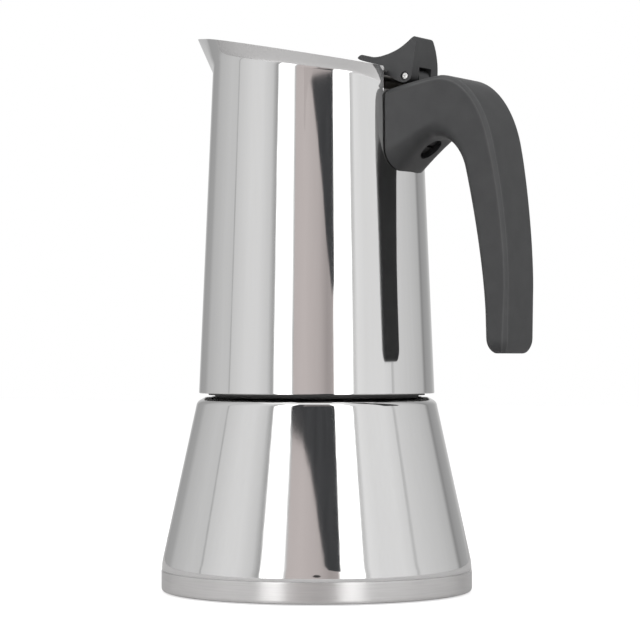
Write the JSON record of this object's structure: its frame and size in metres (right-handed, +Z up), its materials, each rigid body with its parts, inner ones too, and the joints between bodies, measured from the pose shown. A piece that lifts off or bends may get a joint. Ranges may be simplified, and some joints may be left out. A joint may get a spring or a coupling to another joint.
{
  "type": "moka pot",
  "caption": "Stovetop moka pot in polished stainless steel with a slanted rim, pointed spout, matte dark grey handle and hinged lid lever.",
  "frame": {"origin": "centre of the round base underside, on the pot's axis, where it rests on the hob", "axes": "+Z up along the pot's axis, +X from the axis towards the handle, -X towards the spout, +Y to the left of someone who looks from the handle to the spout's opposite side, where the safety valve sits"},
  "size_m": [0.129, 0.1075, 0.1881],
  "materials": {
    "polished_steel": "mirror polished stainless steel",
    "satin_steel": "turned satin stainless steel",
    "inner_steel": "satin stainless steel",
    "core_alloy": "matte aluminium",
    "valve_brass": "satin brass",
    "valve_seal": "matte fibre",
    "spring_steel": "satin steel wire and pin",
    "silicone": "matte white silicone",
    "handle_plastic": "matte dark grey moulded plastic",
    "lever_plastic": "matte dark grey moulded plastic",
    "pin_steel": "bright steel"
  },
  "bodies": {
    "boiler": {"boiler_shell": "polished_steel", "base_pan": "satin_steel", "base_core": "core_alloy", "neck_ring": "inner_steel", "valve_body": "valve_brass", "valve_washer": "valve_seal", "valve_nut": "valve_brass", "valve_cap": "valve_brass", "valve_spring": "spring_steel"},
    "plunger": {"valve_plunger": "spring_steel"},
    "funnel": {"funnel_bowl": "inner_steel", "funnel_stem": "inner_steel", "funnel_grid": "inner_steel"},
    "seal": {"gasket": "silicone"},
    "filter": {"filter_plate": "inner_steel"},
    "collector": {"collector_shell": "polished_steel", "collector_floor": "inner_steel", "collar_ring": "inner_steel", "riser_column": "inner_steel", "column_cap": "inner_steel", "handle_bracket": "inner_steel", "handle_grip": "handle_plastic", "handle_screw": "pin_steel", "hinge_pin": "pin_steel"},
    "lid": {"lid_plate": "polished_steel", "lid_lever": "lever_plastic", "lid_rivet": "pin_steel"}
  },
  "joints": [
    {"name": "valve_lift", "type": "slide", "parent": "boiler", "child": "plunger", "axis": [0, 0.977, 0.213], "range_m": [0, 0.0012], "stiffness_N_per_m": 1500, "springref_m": -0.004, "deforming": ["valve_spring"]},
    {"name": "funnel_lift", "type": "slide", "parent": "boiler", "child": "funnel", "axis": [0, 0, 1], "range_m": [0, 0.085]},
    {"name": "collector_lift", "type": "slide", "parent": "funnel", "child": "seal", "axis": [0, 0, 1], "range_m": [0, 0.06]},
    {"name": "collector_rise", "type": "slide", "parent": "seal", "child": "filter", "axis": [0, 0, 1], "range_m": [0, 0.0038]},
    {"name": "collector_turn", "type": "hinge", "parent": "filter", "child": "collector", "pos_m": [0, 0, 0.066], "axis": [0, 0, 1], "range_deg": [0, 450]},
    {"name": "lid_hinge", "type": "hinge", "parent": "collector", "child": "lid", "pos_m": [0.039, 0, 0.1696], "axis": [0, 1, 0], "range_deg": [0, 75]}
  ],
  "couplings": [
    {"joint": "collector_rise", "follows": "collector_turn", "m_per_rad": 0.00047746}
  ]
}
